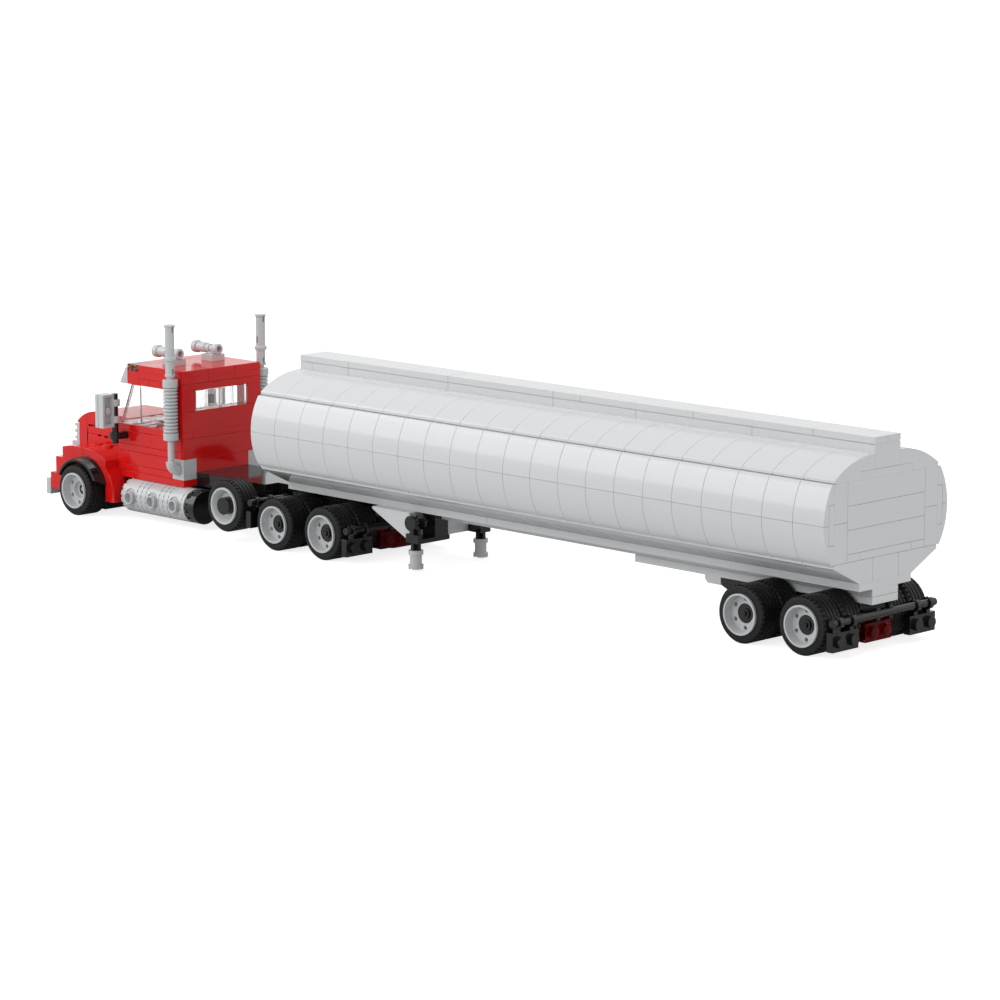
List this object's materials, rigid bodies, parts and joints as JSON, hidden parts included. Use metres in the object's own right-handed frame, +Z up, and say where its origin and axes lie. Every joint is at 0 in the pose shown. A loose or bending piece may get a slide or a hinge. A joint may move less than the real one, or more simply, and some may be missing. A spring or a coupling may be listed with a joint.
{
  "type": "toy tanker truck",
  "caption": "Brick-built toy tanker lorry: a long-nosed red tractor with a lift axle pulls a long pale tank trailer that turns at its kingpin, and every wheel rolls.",
  "frame": {"origin": "on the ground, under the middle of the whole model's bounding box", "axes": "+X forward along the lorry, +Y to the left side, +Z up"},
  "size_m": [0.4947, 0.0804, 0.0956],
  "materials": {
    "red": "gloss",
    "pale_grey": "gloss",
    "mid_grey": "gloss",
    "black": "gloss",
    "tyre": "matt",
    "clear": "clear gloss",
    "clear_red": "clear gloss",
    "amber": "gloss"
  },
  "bodies": {
    "tractor": {"chassis": "black", "deck": "black", "cab_lower": "red", "cab_back": "red", "cab_header": "red", "cab_roof": "red", "marker_tile": "amber", "visor": "mid_grey", "windscreen": "clear", "rear_window": "clear", "bonnet": "red", "grille": "mid_grey", "front_bumper": "mid_grey", "wings": "red", "wheel_flares": "black", "stacks": "mid_grey", "stack_elbows": "mid_grey", "horns": "mid_grey", "headlamps": "clear", "mirrors": "mid_grey", "mirror_bars": "black", "fuel_tanks": "mid_grey", "fuel_caps": "black", "tractor_bars": "black", "tractor_flaps": "black", "tractor_lamp": "clear_red"},
    "trailer": {"tank_core": "pale_grey", "tank_sides": "pale_grey", "tank_top_slopes": "pale_grey", "catwalk_riser": "pale_grey", "catwalk_tiles": "pale_grey", "trailer_frame": "pale_grey", "kingpin": "pale_grey", "trailer_keel": "pale_grey", "trailer_axle_carrier": "black", "landing_bracket": "black", "landing_feet": "mid_grey", "landing_cranks": "black", "trailer_bar": "black", "trailer_flaps": "black", "trailer_lamp": "clear_red"},
    "trailer_rear_wheels": {"trailer_rear_tyres": "tyre", "trailer_rear_rims": "mid_grey", "trailer_rear_axle": "black"},
    "trailer_front_wheels": {"trailer_front_tyres": "tyre", "trailer_front_rims": "mid_grey", "trailer_front_axle": "black"},
    "drive_rear_wheels": {"drive_rear_tyres": "tyre", "drive_rear_rims": "mid_grey", "drive_rear_axle": "black"},
    "drive_front_wheels": {"drive_front_tyres": "tyre", "drive_front_rims": "mid_grey", "drive_front_axle": "black"},
    "lift_wheels": {"lift_tyres": "tyre", "lift_rims": "mid_grey", "lift_axle": "black"},
    "front_left_wheel": {"front_left_tyres": "tyre", "front_left_rims": "mid_grey"},
    "front_right_wheel": {"front_right_tyres": "tyre", "front_right_rims": "mid_grey"}
  },
  "joints": [
    {"name": "trailer_turn", "type": "hinge", "parent": "tractor", "child": "trailer", "pos_m": [0.0665, 0, 0.0256], "axis": [0, 0, 1], "range_deg": [-25, 25]},
    {"name": "trailer_rear_spin", "type": "hinge", "parent": "trailer", "child": "trailer_rear_wheels", "pos_m": [-0.2295, 0, 0.012], "axis": [0, 1, 0], "continuous": true},
    {"name": "trailer_front_spin", "type": "hinge", "parent": "trailer", "child": "trailer_front_wheels", "pos_m": [-0.1975, 0, 0.012], "axis": [0, 1, 0], "continuous": true},
    {"name": "drive_rear_spin", "type": "hinge", "parent": "tractor", "child": "drive_rear_wheels", "pos_m": [0.0505, 0, 0.012], "axis": [0, 1, 0], "continuous": true},
    {"name": "drive_front_spin", "type": "hinge", "parent": "tractor", "child": "drive_front_wheels", "pos_m": [0.0825, 0, 0.012], "axis": [0, 1, 0], "continuous": true},
    {"name": "lift_spin", "type": "hinge", "parent": "tractor", "child": "lift_wheels", "pos_m": [0.1145, 0, 0.0168], "axis": [0, 1, 0], "continuous": true},
    {"name": "front_left_spin", "type": "hinge", "parent": "tractor", "child": "front_left_wheel", "pos_m": [0.2169, 0.034, 0.012], "axis": [0, 1, 0], "continuous": true},
    {"name": "front_right_spin", "type": "hinge", "parent": "tractor", "child": "front_right_wheel", "pos_m": [0.2169, -0.034, 0.012], "axis": [0, 1, 0], "continuous": true}
  ]
}
